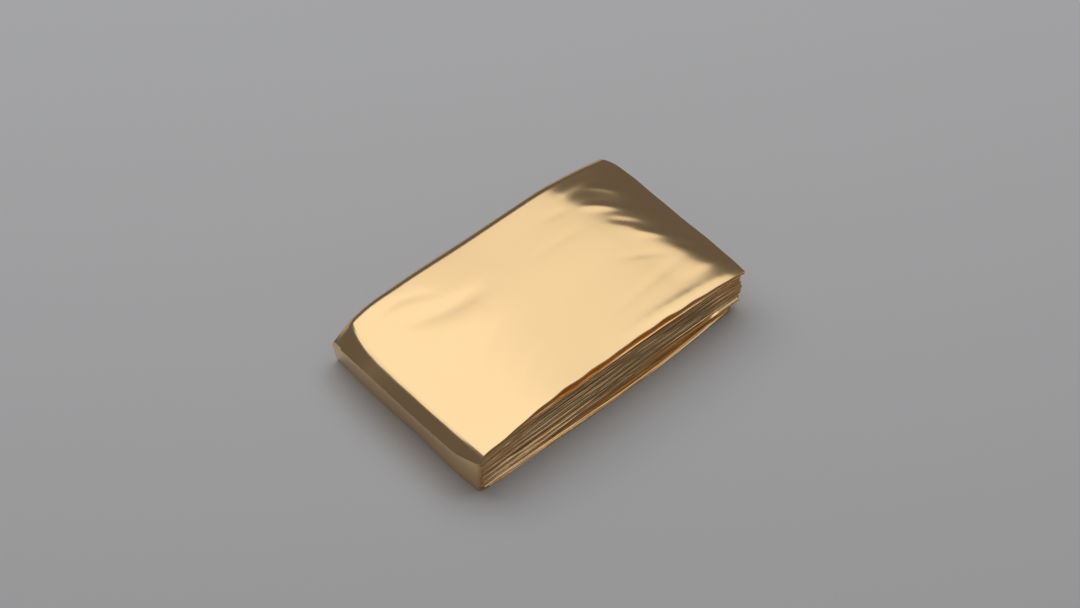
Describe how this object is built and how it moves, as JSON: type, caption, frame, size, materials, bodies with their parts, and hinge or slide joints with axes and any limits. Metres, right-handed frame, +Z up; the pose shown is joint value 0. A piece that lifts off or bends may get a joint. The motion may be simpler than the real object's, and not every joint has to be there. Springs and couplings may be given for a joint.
{
  "type": "emergency foil blanket",
  "caption": "Gold foil emergency blanket, one thin metallised sheet pleated to a strip and folded back and forth into a flat palm-sized packet with a creased spine.",
  "frame": {"origin": "bottom centre of the packet's bounding box", "axes": "+X along the packet, away from the creased spine; -Y towards the long side where the plies show; +Z up from the face it lies on"},
  "size_m": [0.1288, 0.0762, 0.0224],
  "materials": {
    "gold_foil": "gold-tinted metallised polyester film, bright with soft creases"
  },
  "bodies": {
    "root": {"foil_blanket": "gold_foil"}
  },
  "joints": []
}
